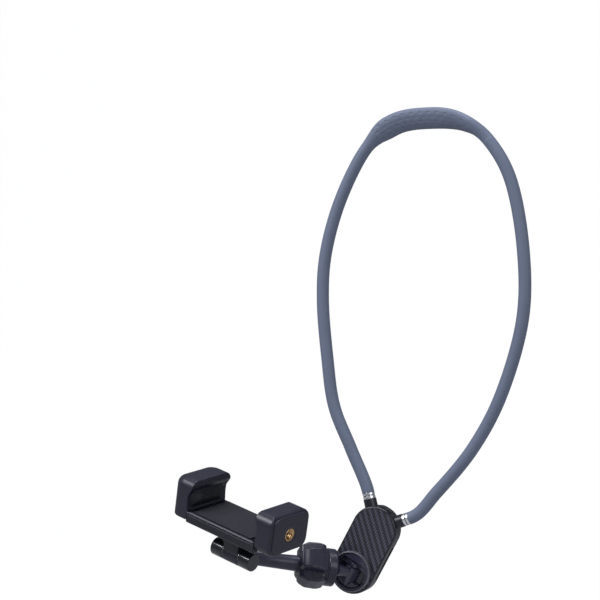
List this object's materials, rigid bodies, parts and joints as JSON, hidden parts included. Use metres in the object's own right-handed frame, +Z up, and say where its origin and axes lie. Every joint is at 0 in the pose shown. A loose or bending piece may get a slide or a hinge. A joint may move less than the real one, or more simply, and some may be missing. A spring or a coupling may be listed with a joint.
{
  "type": "neck phone holder",
  "caption": "Bendable neck loop with a plug-in base, a turning and folding knuckle, a ball joint, a cranked arm and a sprung phone clip.",
  "frame": {"origin": "under the top of the neck pad, where it lies on the neck", "axes": "+X to the right and +Y away, seen from the front of the base, +Z up"},
  "size_m": [0.2102, 0.1166, 0.3187],
  "materials": {
    "sleeve": "satin",
    "steel": "brushed",
    "chrome": "polished",
    "shell": "satin",
    "weave": "woven pattern, glossy",
    "gloss": "glossy",
    "liner": "satin",
    "brass": "machined",
    "grip": "matt"
  },
  "bodies": {
    "base": {"neck_sleeve_left": "sleeve", "neck_sleeve_right": "sleeve", "neck_pad": "sleeve", "core_wire": "steel", "ferrule_left": "chrome", "ferrule_right": "chrome", "plug_left": "shell", "plug_right": "shell", "base_front_shell": "shell", "base_rear_shell": "shell", "weave_plate": "weave", "base_screws": "steel", "button_spring": "steel"},
    "release": {"release_button": "shell", "latch_bar": "steel"},
    "turret": {"turret_ring": "shell", "turret_cup": "shell", "turret_screw": "steel", "turret_washer": "steel", "knuckle_pin": "steel"},
    "knuckle": {"flip_knuckle": "shell", "ball_stud": "steel"},
    "seat": {"ball_seat": "liner"},
    "ring": {"pressure_ring": "liner"},
    "arm": {"arm": "shell", "hinge_fork": "gloss", "fork_screw": "steel", "hinge_bolt": "steel", "hinge_nut": "steel", "hinge_caps": "gloss"},
    "nut": {"lock_nut": "shell"},
    "clip": {"clip_base": "shell", "hinge_washers": "steel", "fixed_jaw": "shell", "end_plate": "shell", "brass_insert": "brass", "fixed_jaw_pad": "grip", "clip_screws": "steel", "jaw_springs": "steel"},
    "slide": {"sliding_jaw": "shell", "sliding_jaw_pad": "grip", "tray_pad": "grip"}
  },
  "joints": [
    {"name": "release_press", "type": "slide", "parent": "base", "child": "release", "axis": [-0.4772, 0, -0.8788], "range_m": [0, 0.0015], "stiffness_N_per_m": 900, "deforming": ["button_spring"]},
    {"name": "turret_swivel", "type": "hinge", "parent": "base", "child": "turret", "pos_m": [-0.05394, -0.0062, -0.28998], "axis": [0, -1, 0], "continuous": true},
    {"name": "knuckle_flip", "type": "hinge", "parent": "turret", "child": "knuckle", "pos_m": [-0.05466, -0.0072, -0.2913], "axis": [0.4772, 0, 0.8788], "range_deg": [-4, 40]},
    {"name": "ball_fold_tilt", "type": "hinge", "parent": "knuckle", "child": "seat", "pos_m": [-0.06602, -0.025, -0.28513], "axis": [0.4772, 0, 0.8788], "range_deg": [-3, 38]},
    {"name": "ball_side_tilt", "type": "hinge", "parent": "seat", "child": "ring", "pos_m": [-0.06602, -0.025, -0.28513], "axis": [0.5041, -0.8192, -0.2737], "range_deg": [-30, 3]},
    {"name": "ball_twist", "type": "hinge", "parent": "ring", "child": "arm", "pos_m": [-0.06602, -0.025, -0.28513], "axis": [-0.8189, -0.554, 0.1501], "range_deg": [-90, 90]},
    {"name": "nut_turn", "type": "hinge", "parent": "arm", "child": "nut", "pos_m": [-0.06602, -0.025, -0.28513], "axis": [-0.8189, -0.554, 0.1501], "range_deg": [0, 180]},
    {"name": "clip_fold", "type": "hinge", "parent": "arm", "child": "clip", "pos_m": [-0.10761, -0.07426, -0.2724], "axis": [0.9269, -0.269, -0.2617], "range_deg": [-30, 75]},
    {"name": "jaw_slide", "type": "slide", "parent": "clip", "child": "slide", "axis": [-0.9269, 0.269, 0.2617], "range_m": [0, 0.028], "stiffness_N_per_m": 250, "springref_m": -0.01, "deforming": ["jaw_springs"]}
  ]
}
